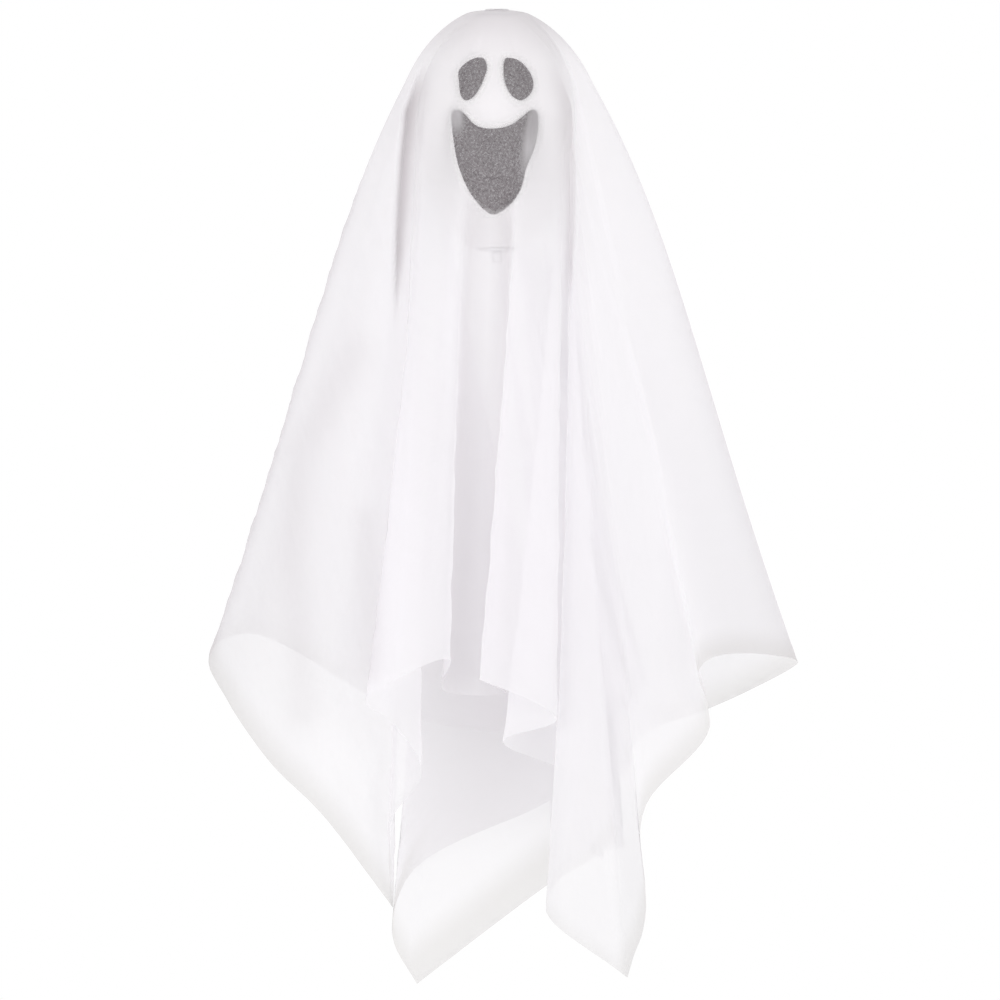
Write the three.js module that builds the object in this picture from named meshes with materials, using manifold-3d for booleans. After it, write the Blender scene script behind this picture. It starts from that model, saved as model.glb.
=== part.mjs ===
// A hanging ghost: a sheer square cloth draped over an egg-shaped foam head with a felt face.
// Millimetres, +Z up, the face looks along -Y, and +X is on the right of someone facing it.
// The origin is the point inside the hanging ring where a cord pulls.
import * as THREE from 'three';
import { mergeVertices } from 'three/addons/utils/BufferGeometryUtils.js';
import Module from 'manifold-3d';

const wasm = await Module();
wasm.setup();

const seatGap = 0.3;          // clearance between pieces that rest on each other

// hanging ring and the pin that swings on it
const ringRadius = 4.4;       // centre of the wire
const ringWire = 1.6;
const eyeRadius = 2.6;        // centre of the wire
const eyeWire = 1.6;
const shaftRadius = 1.2;
const shaftClearance = 0.3;
const stopRadius = 2.6;
const stopLength = 5;
const washerRadius = 9;
const washerThick = 1;

// cloth, with its eyelet at the crown
const clothThick = 1.2;
const sheetHalfWidth = 360;
const sheetFront = 352;       // crown to the middle of the front hem, along the cloth
const sheetBack = 368;
const eyeletBore = 3.2;
const eyeletWall = 0.4;
const eyeletRim = 6;          // outer radius of the flange over the cloth
const eyeletPlate = 0.5;
const ringHeadroom = 0.6;     // ring to the eyelet above it

// head
const headRadius = 37.5;
const headHalfHeight = 60;    // of the whole egg, before its ends are cut flat
const headTopCut = 3.2;
const headBottomCut = 3.6;
const clothLift = 2.2;        // head surface to the middle of the cloth

// cup that lines the recess in the top of the head
const cupMouth = 8.6;
const cupWall = 1.4;
const cupFlange = 11;
const cupFlangeThick = 1.2;
const cupFloor = 1.5;
const eyeFloorRoom = 1.9;     // pin eye to the floor of the cup

// face
const feltThick = 0.8;

// heights that follow from the sizes above
const ringCentre = -(ringRadius - ringWire / 2);
const swingHeight = ringCentre - ringRadius;
const ringTop = ringCentre + ringRadius + ringWire / 2;
const eyeletBottom = ringTop + ringHeadroom;
const clothUnder = eyeletBottom + eyeletPlate + seatGap;
const crownHeight = clothUnder + clothThick / 2;
const cupTop = clothUnder - seatGap;
const headTop = cupTop - cupFlangeThick - seatGap;
const headCentre = headTop + headTopCut - headHalfHeight;
const headBottom = headCentre - headHalfHeight + headBottomCut;
const eyeTopWire = swingHeight + ringWire / 2 + seatGap + eyeWire / 2;
const eyeCentre = eyeTopWire - eyeRadius;
const eyeBottomWire = eyeCentre - eyeRadius;
const cupFloorTop = eyeBottomWire - eyeWire / 2 - eyeFloorRoom;
const cupFloorUnder = cupFloorTop - cupFloor;
const washerTop = headBottom - seatGap;
const stopTop = washerTop - washerThick - seatGap;
const shaftBottom = stopTop - stopLength - seatGap;

const look = (color, roughness, metalness) =>
  new THREE.MeshStandardMaterial({ color, roughness, metalness });
const looks = {
  cloth: look(0xf8f7fa, 0.85, 0),
  foam: look(0xf4f3f2, 0.8, 0),
  felt: look(0x1c1b1c, 0.95, 0),
  plastic: look(0xf0f0f0, 0.45, 0),
  steel: look(0xb8babd, 0.35, 1),
};

const group = new THREE.Group();
function addPiece(name, geometry, material) {
  const mesh = new THREE.Mesh(geometry, material);
  mesh.name = name;
  group.add(mesh);
  return mesh;
}

function toSolid(geometry) {
  const bare = geometry.clone();
  bare.deleteAttribute('normal');
  bare.deleteAttribute('uv');
  const merged = mergeVertices(bare, 1e-4);
  return new wasm.Manifold(new wasm.Mesh({
    numProp: 3,
    vertProperties: new Float32Array(merged.attributes.position.array),
    triVerts: new Uint32Array(merged.index.array),
  }));
}

function fromSolid(solid) {
  const mesh = solid.getMesh();
  const geometry = new THREE.BufferGeometry();
  geometry.setAttribute('position', new THREE.BufferAttribute(mesh.vertProperties.slice(), 3));
  geometry.setIndex(new THREE.BufferAttribute(mesh.triVerts.slice(), 1));
  return geometry;
}

function fromTriangles(points, faces) {
  const geometry = new THREE.BufferGeometry();
  geometry.setAttribute('position', new THREE.Float32BufferAttribute(points.flat(), 3));
  geometry.setIndex(faces);
  geometry.computeVertexNormals();
  return geometry;
}

// a round piece about Z from its [radius, height] profile, listed upwards on the outside
function turned(profile, segments) {
  const lathe = new THREE.LatheGeometry(profile.map(([r, z]) => new THREE.Vector2(r, z)), segments);
  return lathe.rotateX(Math.PI / 2);
}

// a tube-like ring: inner and outer radius, from one height up to another
function collar(inner, outer, low, high, segments = 32) {
  return turned([[inner, low], [outer, low], [outer, high], [inner, high], [inner, low]], segments);
}

// hanging ring, upright in the YZ plane, with its lowest wire on the swing axis
const ringShape = new THREE.TorusGeometry(ringRadius, ringWire / 2, 10, 30);
ringShape.rotateY(Math.PI / 2).translate(0, 0, ringCentre);
addPiece('hanging_ring', ringShape, looks.steel);

// pin: an eye in the XZ plane round the ring's lowest wire, on a straight shaft
function pinShape() {
  const eye = new THREE.TorusGeometry(eyeRadius, eyeWire / 2, 10, 26);
  eye.rotateX(Math.PI / 2).translate(0, 0, eyeCentre);
  const shaft = turned(
    [[0, shaftBottom], [shaftRadius, shaftBottom], [shaftRadius, eyeBottomWire], [0, eyeBottomWire]], 18);
  return fromSolid(toSolid(eye).add(toSolid(shaft)));
}
addPiece('hanger_pin', pinShape(), looks.steel);
const pinBore = shaftRadius + shaftClearance;
addPiece('end_stop',
  collar(shaftRadius + seatGap, stopRadius, stopTop - stopLength, stopTop, 20), looks.steel);
addPiece('lower_washer',
  collar(pinBore, washerRadius, washerTop - washerThick, washerTop), looks.steel);

// cup: flange on the head's flat top, a wall down into the recess and a floor with the pin's hole
const cupOuter = cupMouth + cupWall;
addPiece('hanger_cup', turned([
  [pinBore, cupFloorUnder], [cupOuter, cupFloorUnder], [cupOuter, cupTop - cupFlangeThick],
  [cupFlange, cupTop - cupFlangeThick], [cupFlange, cupTop], [cupMouth, cupTop],
  [cupMouth, cupFloorTop], [pinBore, cupFloorTop], [pinBore, cupFloorUnder],
], 36), looks.plastic);

// head: an egg with flat ends, the recess for the cup and the bore for the pin
function headProfile() {
  const low = Math.asin(1 - headBottomCut / headHalfHeight);
  const high = Math.asin(1 - headTopCut / headHalfHeight);
  const steps = 15;
  const side = [];
  for (let i = 0; i <= steps; i++) {
    const angle = -low + (low + high) * i / steps;
    side.push([headRadius * Math.cos(angle), headCentre + headHalfHeight * Math.sin(angle)]);
  }
  const recess = cupOuter + seatGap;
  const recessFloor = cupFloorUnder - seatGap;
  return [[pinBore, headBottom], ...side, [recess, headTop], [recess, recessFloor],
    [pinBore, recessFloor], [pinBore, headBottom]];
}
addPiece('head_form', turned(headProfile(), 36), looks.foam);

// point on the front of the egg, or a given distance off it, at a place across and down from its centre
function onHead(x, z, lift) {
  const up = (z - headCentre) / headHalfHeight;
  const round = Math.sqrt(Math.max(0.01, 1 - up * up - (x / headRadius) ** 2));
  const surface = new THREE.Vector3(x, -headRadius * round, z);
  const normal = new THREE.Vector3(x / headRadius ** 2, surface.y / headRadius ** 2,
    (z - headCentre) / headHalfHeight ** 2).normalize();
  return surface.addScaledVector(normal, lift).toArray();
}

// felt patch: a smooth outline round a middle point, laid on the egg
function feltPatch(middle, outline, steps, rings) {
  const across = p => new THREE.Vector2(p[0], headTop - p[1]);
  const curve = new THREE.SplineCurve([...outline, outline[0]].map(across));
  const edge = curve.getSpacedPoints(steps).slice(0, steps);
  const centre = across(middle);
  const points = [];
  for (const lift of [seatGap, seatGap + feltThick]) {
    points.push(onHead(centre.x, centre.y, lift));
    for (let r = 1; r <= rings; r++) {
      for (const p of edge) {
        const q = centre.clone().lerp(p, r / rings);
        points.push(onHead(q.x, q.y, lift));
      }
    }
  }
  const layer = 1 + rings * steps;
  const at = (side, r, i) => side * layer + (r === 0 ? 0 : 1 + (r - 1) * steps + (i % steps));
  const faces = [];
  const tri = (a, b, c, flip) => faces.push(...(flip ? [a, b, c] : [a, c, b]));
  for (const side of [0, 1]) {
    for (let i = 0; i < steps; i++) {
      tri(at(side, 0, 0), at(side, 1, i + 1), at(side, 1, i), side === 1);
      for (let r = 1; r < rings; r++) {
        tri(at(side, r, i), at(side, r, i + 1), at(side, r + 1, i + 1), side === 1);
        tri(at(side, r, i), at(side, r + 1, i + 1), at(side, r + 1, i), side === 1);
      }
    }
  }
  for (let i = 0; i < steps; i++) {
    tri(at(0, rings, i), at(0, rings, i + 1), at(1, rings, i + 1), false);
    tri(at(0, rings, i), at(1, rings, i + 1), at(1, rings, i), false);
  }
  return fromTriangles(points, faces);
}

// outlines as [across, down from the head's top], clockwise as seen from the front
const face = {
  right_eye: {
    middle: [10.3, 33.2], steps: 22, rings: 3,
    outline: [[4, 23.7], [7, 23.5], [11, 25], [15.2, 29.8], [17.1, 35.2], [16, 40.2], [11.6, 43.8],
      [7.6, 42], [4.4, 36.8], [3.2, 29.4]],
  },
  left_eye: {
    middle: [-11.9, 32.4], steps: 22, rings: 3,
    outline: [[-9.5, 23.2], [-6.6, 23.4], [-4.8, 27.4], [-6.4, 33.5], [-9.8, 40.3], [-12.6, 43.1],
      [-15.4, 43.5], [-17, 41], [-17.8, 34.5], [-17.9, 29.4], [-13.8, 25]],
  },
  mouth: {
    middle: [-1.5, 72], steps: 40, rings: 5,
    outline: [[-20.8, 49], [-19, 48.2], [-16.9, 49], [-9.5, 56.3], [-1.5, 57.7], [6, 56.1], [12, 52],
      [16, 48.7], [18.2, 48.6], [19.4, 55.7], [17.7, 66.2], [13.6, 76.6], [11.3, 85.6], [6.5, 92.9],
      [-2, 97.8], [-10.8, 90.2], [-17.5, 76.6], [-20.6, 60.6]],
  },
};
for (const [name, felt] of Object.entries(face)) {
  addPiece(name, feltPatch(felt.middle, felt.outline, felt.steps, felt.rings), looks.felt);
}

// eyelet: a barrel through the cloth, a flange over it and a wider one that fills the cup's mouth
const clothTop = crownHeight + clothThick / 2;
const eyeletTop = clothTop + seatGap + eyeletPlate;
const barrel = eyeletBore + eyeletWall;
const backing = cupMouth - seatGap;
addPiece('crown_eyelet', turned([
  [eyeletBore, eyeletBottom], [backing, eyeletBottom], [backing, eyeletBottom + eyeletPlate],
  [barrel, eyeletBottom + eyeletPlate], [barrel, eyeletTop - eyeletPlate],
  [eyeletRim, eyeletTop - eyeletPlate], [eyeletRim, eyeletTop], [eyeletBore, eyeletTop],
  [eyeletBore, eyeletBottom],
], 32), looks.steel);

// Cloth. Each fold line runs from the crown over the head and then straight to the hem.
// Its length is what the flat sheet gives it there, less what small creases take up.
// A line: place on the hem [across, forward or back] of the flat sheet, where that hangs
// [across, depth], the angle at which it leaves the head, outward swell, and creasing.
const foldLines = [
  [[1, -0.06], [144, -35], -2, 12, 0],
  [[1, -0.3], [97, -110], -20, 9, 6],
  [[1, -0.42], [100, -76], -27, 4, 8],
  [[1, -0.6], [70, -66], -34, 1, 8],
  [[1, -0.84], [71, -112], -39, 4, 0],
  [[1, -1], [59, -150], -43, 5, 9],
  [[0.83, -1], [24, -134], -48, 3, -2],
  [[0.77, -1], [25, -108], -51, 1, 0],
  [[0.56, -1], [46, -48], -55, 0, 0],
  [[0.4, -1], [2, -62], -61, 0, 0],
  [[0.29, -1], [19, -86], -68, 3, 0],
  [[0.15, -1], [-6, -112], -78, 3, 0],
  [[0, -1], [-11, -82], -90, 0, 12],
  [[-0.17, -1], [-17, -124], -102, 3, 14],
  [[-0.31, -1], [-51, -140], -114, 4, 12],
  [[-0.47, -1], [-32, -88], -124, 0, 8],
  [[-0.65, -1], [-67, -136], -133, 2, 6],
  [[-0.83, -1], [-50, -98], -141, 1, 16],
  [[-1, -1], [-49, -80], -149, 3, 42],
  [[-1, -0.8], [-74, -104], -157, 6, 26],
  [[-1, -0.59], [-102, -92], -164, 8, 14],
  [[-1, -0.42], [-124, -68], -171, 10, 16],
  [[-1, -0.26], [-139, -31], -180, 12, 18],
  [[-1, -0.06], [-117, 30], -191, 7, 20],
  [[-1, 0.16], [-60, 24], -203, 1, 22],
  [[-1, 0.38], [-92, 84], -212, 5, 10],
  [[-1, 0.6], [-58, 74], -220, 1, 6],
  [[-1, 0.8], [-70, 118], -227, 3, 0],
  [[-1, 1], [-40, 92], -234, 4, 2],
  [[-0.76, 1], [22, 80], -243, 3, 0],
  [[-0.62, 1], [34, 64], -250, 4, 8],
  [[-0.39, 1], [-37, 10], -259, 0, 16],
  [[-0.15, 1], [30, -6], -267, 1, 6],
  [[0.02, 1], [68, 16], -273, 2, 4],
  [[0.2, 1], [50, 52], -279, 1, 4],
  [[0.4, 1], [22, 104], -286, 3, 4],
  [[0.6, 1], [56, 92], -295, 0, 4],
  [[0.8, 1], [35, 130], -306, 5, 10],
  [[1, 1], [62, 152], -313, 5, 18],
  [[1, 0.8], [68, 100], -320, 1, 8],
  [[1, 0.6], [84, 96], -326, 2, 8],
  [[1, 0.42], [76, 66], -333, 1, 8],
  [[1, 0.28], [102, 62], -341, 3, 6],
  [[1, 0.14], [123, 36], -350, 7, 2],
];
const crownRows = [12, 17, 24, 33];   // along the cloth from the crown, to where its solid ends
const flankRows = [45, 64, 90];       // further rows, in the skirt's solid
const skirtRows = [0.1, 0.3, 0.55, 0.78, 1];   // shares of the rest of each line
const swellAt = 0.22;         // share of a line where it swells most
const sharpest = 2.5;         // most that a fold's corner stands out, in half thicknesses
const settle = 50;            // along the cloth, where a line has turned to its own angle
const eggRadius = headRadius + clothLift;
const eggHalfHeight = headHalfHeight + clothLift;

// the line over the egg: its angle is PI/2 at the top
function eggPath(endAngle, steps) {
  const path = [];
  let along = 0;
  for (let i = 0; i <= steps; i++) {
    const angle = Math.PI / 2 + (endAngle - Math.PI / 2) * i / steps;
    const point = [eggRadius * Math.cos(angle),
      Math.min(crownHeight, headCentre + eggHalfHeight * Math.sin(angle))];
    if (i > 0) along += Math.hypot(point[0] - path[i - 1][0], point[1] - path[i - 1][1]);
    path.push([...point, along]);
  }
  return path;
}

// where a straight line to the hem leaves the egg
function leavingAngle(reach, height) {
  const a = reach / eggRadius;
  const b = (height - headCentre) / eggHalfHeight;
  return Math.atan2(b, a) + Math.acos(Math.min(1, 1 / Math.hypot(a, b)));
}

function hangingLine([place, hang, headAngle], height) {
  const flat = sheetPoint(place);
  const sheetAngle = Math.atan2(flat[1], flat[0]);
  const leaveAt = THREE.MathUtils.degToRad(headAngle);
  let turn = (sheetAngle - leaveAt) % (2 * Math.PI);
  if (turn > Math.PI) turn -= 2 * Math.PI;
  if (turn < -Math.PI) turn += 2 * Math.PI;
  const points = eggPath(leavingAngle(Math.hypot(...hang), height), 40).map(([r, z, along]) => {
    const blend = THREE.MathUtils.smoothstep(along, 0, settle);
    const angle = leaveAt + turn * (1 - blend);
    return new THREE.Vector3(r * Math.cos(angle), r * Math.sin(angle), z);
  });
  const hem = new THREE.Vector3(hang[0], hang[1], height);
  const leave = points[points.length - 1];
  for (let i = 1; i <= 30; i++) points.push(leave.clone().lerp(hem, i / 30));
  return points;
}

function sheetPoint([across, back]) {
  return [across * sheetHalfWidth, back * (back < 0 ? sheetFront : sheetBack)];
}

function lengths(points) {
  const along = [0];
  for (let i = 1; i < points.length; i++) along.push(along[i - 1] + points[i].distanceTo(points[i - 1]));
  return along;
}

// the hem hangs as low as the length of the cloth lets it
function settledLine(fold) {
  const target = Math.hypot(...sheetPoint(fold[0])) - fold[4];
  let low = -2 * sheetBack;
  let high = headCentre;
  for (let i = 0; i < 40; i++) {
    const height = (low + high) / 2;
    if (lengths(hangingLine(fold, height)).at(-1) > target) low = height;
    else high = height;
  }
  return hangingLine(fold, (low + high) / 2);
}

// keeps a point of the cloth outside the egg, and swells it outward on its way down
function shapedPoint(point, share, hang, swell) {
  const up = THREE.MathUtils.clamp((point.z - headCentre) / eggHalfHeight, -1, 1);
  const least = point.z > headBottom ? eggRadius * Math.sqrt(1 - up * up) : 0;
  const radius = Math.hypot(point.x, point.y);
  const q = share / swellAt;
  const push = swell * q * Math.exp(1 - q) * (1 - share);
  const out = radius > 0 && radius < least && share > 0.05 ? least / radius : 1;
  const reach = Math.hypot(...hang);
  return [point.x * out + push * hang[0] / reach, point.y * out + push * hang[1] / reach, point.z];
}

function rowPoints(fold) {
  const line = settledLine(fold);
  const along = lengths(line);
  const total = along.at(-1);
  const first = barrel + seatGap;
  const skirtTop = crownRows.at(-1) + seatGap;
  const last = flankRows.at(-1);
  const stations = [first, ...crownRows, skirtTop, ...flankRows,
    ...skirtRows.map(k => last + (total - last) * k)];
  return stations.map(s => {
    let i = 1;
    while (i < along.length - 1 && along[i] < s) i++;
    const k = (s - along[i - 1]) / (along[i] - along[i - 1]);
    const point = line[i - 1].clone().lerp(line[i], Math.min(1, k));
    return shapedPoint(point, s / total, fold[1], fold[3]);
  });
}

// two skins either side of the cloth's middle, joined along the first and the last row
function clothSolid(columns) {
  const count = columns.length;
  const rows = columns[0].length;
  const middle = (i, j) => columns[(i + count) % count][j];
  const points = [];
  for (const side of [0.5, -0.5]) {
    for (let i = 0; i < count; i++) {
      for (let j = 0; j < rows; j++) {
        const down = middle(i, Math.min(j + 1, rows - 1)).clone().sub(middle(i, Math.max(j - 1, 0)));
        const ahead = down.clone().cross(middle(i + 1, j).clone().sub(middle(i, j))).normalize();
        const behind = down.clone().cross(middle(i, j).clone().sub(middle(i - 1, j))).normalize();
        const normal = ahead.add(behind);
        const miter = Math.min(sharpest, 2 / normal.length());
        normal.setLength(side * clothThick * miter);
        points.push(middle(i, j).clone().add(normal).toArray());
      }
    }
  }
  const at = (side, i, j) => side * count * rows + (i % count) * rows + j;
  const faces = [];
  for (let i = 0; i < count; i++) {
    for (let j = 0; j < rows - 1; j++) {
      const [a, b, c, d] = [at(0, i, j), at(0, i, j + 1), at(0, i + 1, j + 1), at(0, i + 1, j)];
      faces.push(a, b, c, a, c, d);
      const inner = count * rows;
      faces.push(a + inner, c + inner, b + inner, a + inner, d + inner, c + inner);
    }
    faces.push(at(0, i, 0), at(0, i + 1, 0), at(1, i + 1, 0), at(0, i, 0), at(1, i + 1, 0), at(1, i, 0));
    const j = rows - 1;
    faces.push(at(0, i, j), at(1, i, j), at(1, i + 1, j), at(0, i, j), at(1, i + 1, j), at(0, i + 1, j));
  }
  return fromTriangles(points, faces);
}

// one sheet, in two solids: the crown lies on the head all over, and the skirt hangs free
const clothColumns = foldLines.map(rowPoints).map(rows => rows.map(p => new THREE.Vector3(...p)));
const skirtFrom = crownRows.length + 1;
addPiece('shroud_crown', clothSolid(clothColumns.map(rows => rows.slice(0, skirtFrom))), looks.cloth);
addPiece('shroud', clothSolid(clothColumns.map(rows => rows.slice(skirtFrom))), looks.cloth);

export default group;
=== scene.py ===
import math

import bmesh
import bpy
from mathutils import Matrix, Vector, noise


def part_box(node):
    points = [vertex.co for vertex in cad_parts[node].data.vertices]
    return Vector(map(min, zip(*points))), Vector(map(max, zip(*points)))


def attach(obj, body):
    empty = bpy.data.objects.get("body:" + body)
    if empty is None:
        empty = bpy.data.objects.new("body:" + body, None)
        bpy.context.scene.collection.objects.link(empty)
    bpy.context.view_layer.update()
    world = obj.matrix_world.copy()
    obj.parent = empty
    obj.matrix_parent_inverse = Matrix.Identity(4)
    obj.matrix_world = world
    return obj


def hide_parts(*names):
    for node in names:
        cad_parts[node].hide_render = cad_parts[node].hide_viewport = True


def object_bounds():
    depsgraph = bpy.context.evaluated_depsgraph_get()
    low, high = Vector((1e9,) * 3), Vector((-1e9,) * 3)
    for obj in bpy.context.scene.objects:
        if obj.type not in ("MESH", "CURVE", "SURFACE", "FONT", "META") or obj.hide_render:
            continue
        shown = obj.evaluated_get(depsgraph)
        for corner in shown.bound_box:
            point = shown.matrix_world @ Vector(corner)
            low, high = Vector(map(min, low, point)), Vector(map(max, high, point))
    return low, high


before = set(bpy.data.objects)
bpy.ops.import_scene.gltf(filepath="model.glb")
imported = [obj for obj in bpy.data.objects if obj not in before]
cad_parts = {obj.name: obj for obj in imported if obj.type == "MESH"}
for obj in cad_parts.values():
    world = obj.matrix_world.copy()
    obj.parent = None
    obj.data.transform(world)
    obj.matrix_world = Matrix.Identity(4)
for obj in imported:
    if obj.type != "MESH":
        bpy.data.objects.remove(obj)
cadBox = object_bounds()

mm = 0.001
scene = bpy.context.scene

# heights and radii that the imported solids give
headLow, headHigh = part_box("head_form")
eyeletLow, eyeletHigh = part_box("crown_eyelet")
ringLow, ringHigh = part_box("hanging_ring")
pinLow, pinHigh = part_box("hanger_pin")
cupLow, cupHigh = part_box("hanger_cup")
washerLow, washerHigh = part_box("lower_washer")
stopLow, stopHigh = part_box("end_stop")


# Camera, light and surroundings

camera = {"distance": 2.2, "across": 1.5 * mm, "height": -235.3 * mm, "frameWidth": 0.49, "sensor": 36}


def addCamera():
    data = bpy.data.cameras.new("camera")
    data.sensor_width = camera["sensor"]
    data.lens = camera["sensor"] * camera["distance"] / camera["frameWidth"]
    obj = bpy.data.objects.new("camera", data)
    scene.collection.objects.link(obj)
    obj.location = (camera["across"], -camera["distance"], camera["height"])
    obj.rotation_euler = (math.pi / 2, 0, 0)
    scene.camera = obj


def feed(tree, socket, value):
    # a link where the value comes from another node, or else a plain value
    if isinstance(value, bpy.types.NodeSocket):
        tree.links.new(value, socket)
    else:
        socket.default_value = value


def addNode(tree, kind, **inputs):
    # an input is given by its name, or by its number after an i
    node = tree.nodes.new(kind)
    for name, value in inputs.items():
        numbered = name[0] == "i" and name[1:].isdigit()
        feed(tree, node.inputs[int(name[1:]) if numbered else name], value)
    return node


def mathNode(tree, operation, a, b=0.5, c=None, clamp=False):
    node = tree.nodes.new("ShaderNodeMath")
    node.operation = operation
    node.use_clamp = clamp
    for socket, value in zip(node.inputs, (a, b) if c is None else (a, b, c)):
        feed(tree, socket, value)
    return node.outputs[0]


def mixColor(tree, factor, first, second):
    node = tree.nodes.new("ShaderNodeMix")
    node.data_type = "RGBA"
    for number, value in ((0, factor), (6, first), (7, second)):
        feed(tree, node.inputs[number], value)
    return node.outputs[2]


def fade(tree, value, start, end):
    node = tree.nodes.new("ShaderNodeMapRange")
    node.interpolation_type = "SMOOTHSTEP"
    tree.links.new(value, node.inputs["Value"])
    node.inputs["From Min"].default_value = start
    node.inputs["From Max"].default_value = end
    return node.outputs["Result"]


def painted(tree, name):
    # a value painted on the cloth's points
    node = tree.nodes.new("ShaderNodeAttribute")
    node.attribute_name = name
    return node.outputs["Fac"]


def seenShare(tree):
    # 1 for what the camera sees, straight or in and through a glossy surface
    path = tree.nodes.new("ShaderNodeLightPath")
    seen = mathNode(tree, "MAXIMUM", path.outputs["Is Camera Ray"], path.outputs["Is Glossy Ray"])
    return mathNode(tree, "MAXIMUM", seen, path.outputs["Is Transmission Ray"])


surroundings = {"ambient": 0.66, "tint": (1.0, 0.992, 1.0, 1), "floorDrop": 0.42, "floorWidth": 5.0,
                "floorColor": (0.9, 0.9, 0.9, 1)}


def addWorld():
    world = bpy.data.worlds.new("world")
    scene.world = world
    world.use_nodes = True
    tree = world.node_tree
    tree.nodes.clear()
    light = addNode(tree, "ShaderNodeBackground", Color=surroundings["tint"],
                    Strength=surroundings["ambient"])
    white = addNode(tree, "ShaderNodeBackground", Color=(1, 1, 1, 1), Strength=1.0)
    mix = addNode(tree, "ShaderNodeMixShader", i0=seenShare(tree), i1=light.outputs[0],
                  i2=white.outputs[0])
    addNode(tree, "ShaderNodeOutputWorld", Surface=mix.outputs[0])


lamps = [
    {"name": "keyLamp", "place": (-1.2, -2.2, 0.4), "size": 1.6, "energy": 21.5},
    {"name": "fillLamp", "place": (1.6, -2.0, -0.5), "size": 1.6, "energy": 20.5},
]


def addLamps():
    middle = Vector((0, 0, (cadBox[0][2] + cadBox[1][2]) / 2))
    for lamp in lamps:
        data = bpy.data.lights.new(lamp["name"], "AREA")
        data.energy = lamp["energy"]
        data.size = lamp["size"]
        obj = bpy.data.objects.new(lamp["name"], data)
        scene.collection.objects.link(obj)
        obj.location = lamp["place"]
        obj.rotation_euler = (middle - obj.location).to_track_quat("-Z", "Y").to_euler()


def newMaterial(name):
    material = bpy.data.materials.new(name)
    material.use_nodes = True
    material.node_tree.nodes.clear()
    return material, material.node_tree


def finishMaterial(tree, shader):
    addNode(tree, "ShaderNodeOutputMaterial", Surface=shader)


def addFloor():
    bm = bmesh.new()
    bmesh.ops.create_grid(bm, x_segments=1, y_segments=1, size=surroundings["floorWidth"] / 2)
    mesh = bpy.data.meshes.new("floor")
    bm.to_mesh(mesh)
    bm.free()
    mesh.transform(Matrix.Translation((0, 0, cadBox[0][2] - surroundings["floorDrop"])))
    material, tree = newMaterial("paleFloor")
    lit = addNode(tree, "ShaderNodeBsdfDiffuse", Color=surroundings["floorColor"])
    finishMaterial(tree, lit.outputs[0])
    mesh.materials.append(material)
    obj = bpy.data.objects.new("floor", mesh)
    scene.collection.objects.link(obj)


# Shared shader groups

def newGroup(name, inputs, outputs):
    group = bpy.data.node_groups.new(name, "ShaderNodeTree")
    for label, kind, value in inputs:
        socket = group.interface.new_socket(label, in_out="INPUT", socket_type=kind)
        if value is not None:
            socket.default_value = value
    for label, kind in outputs:
        group.interface.new_socket(label, in_out="OUTPUT", socket_type=kind)
    return group, group.nodes.new("NodeGroupInput"), group.nodes.new("NodeGroupOutput")


def buildGrain():
    group, given, out = newGroup(
        "fineGrain",
        [("Place", "NodeSocketVector", None), ("Grains per metre", "NodeSocketFloat", 1000.0),
         ("Depth", "NodeSocketFloat", 0.1)],
        [("Grain", "NodeSocketFloat"), ("Normal", "NodeSocketVector")])
    speckle = addNode(group, "ShaderNodeTexNoise", Vector=given.outputs[0], Scale=given.outputs[1],
                      Detail=3.0, Roughness=0.6)
    bump = addNode(group, "ShaderNodeBump", Height=speckle.outputs[0], Distance=given.outputs[2])
    group.links.new(speckle.outputs[0], out.inputs[0])
    group.links.new(bump.outputs[0], out.inputs[1])
    return group


def useGroup(tree, group, **inputs):
    node = tree.nodes.new("ShaderNodeGroup")
    node.node_tree = group
    for label, value in inputs.items():
        feed(tree, node.inputs[label.replace("_", " ")], value)
    return node


# Meshes

def addPiece(name, bm, body, material, replaced):
    # a smooth-shaded piece that rides on a body and stands for its solids
    bmesh.ops.scale(bm, vec=(mm, mm, mm), verts=bm.verts)
    mesh = bpy.data.meshes.new(name)
    bm.to_mesh(mesh)
    bm.free()
    for face in mesh.polygons:
        face.use_smooth = True
    mesh.materials.append(material)
    obj = bpy.data.objects.new(name, mesh)
    scene.collection.objects.link(obj)
    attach(obj, body)
    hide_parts(*replaced)
    return obj


sharpEdge = math.radians(40)   # edges that turn more than this are rounded


def turned(profile, segments, bevel):
    # a profile of [radius, height] turned round the upright axis
    bm = bmesh.new()
    verts = [bm.verts.new((radius, 0, height)) for radius, height in profile]
    edges = [bm.edges.new(pair) for pair in zip(verts, verts[1:] + verts[:1])]
    bmesh.ops.spin(bm, geom=verts + edges, cent=(0, 0, 0), axis=(0, 0, 1), dvec=(0, 0, 0),
                   angle=2 * math.pi, steps=segments, use_merge=True, use_duplicate=False)
    bmesh.ops.remove_doubles(bm, verts=bm.verts, dist=1e-6)
    bmesh.ops.recalc_face_normals(bm, faces=bm.faces)
    sharp = [e for e in bm.edges if e.is_manifold and e.calc_face_angle() > sharpEdge]
    bmesh.ops.bevel(bm, geom=sharp, offset=bevel, offset_type="OFFSET", segments=3, profile=0.5,
                    affect="EDGES", clamp_overlap=True, material=-1)
    return bm


# Cloth: one square sheet, draped over the head and hanging in folds

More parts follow.
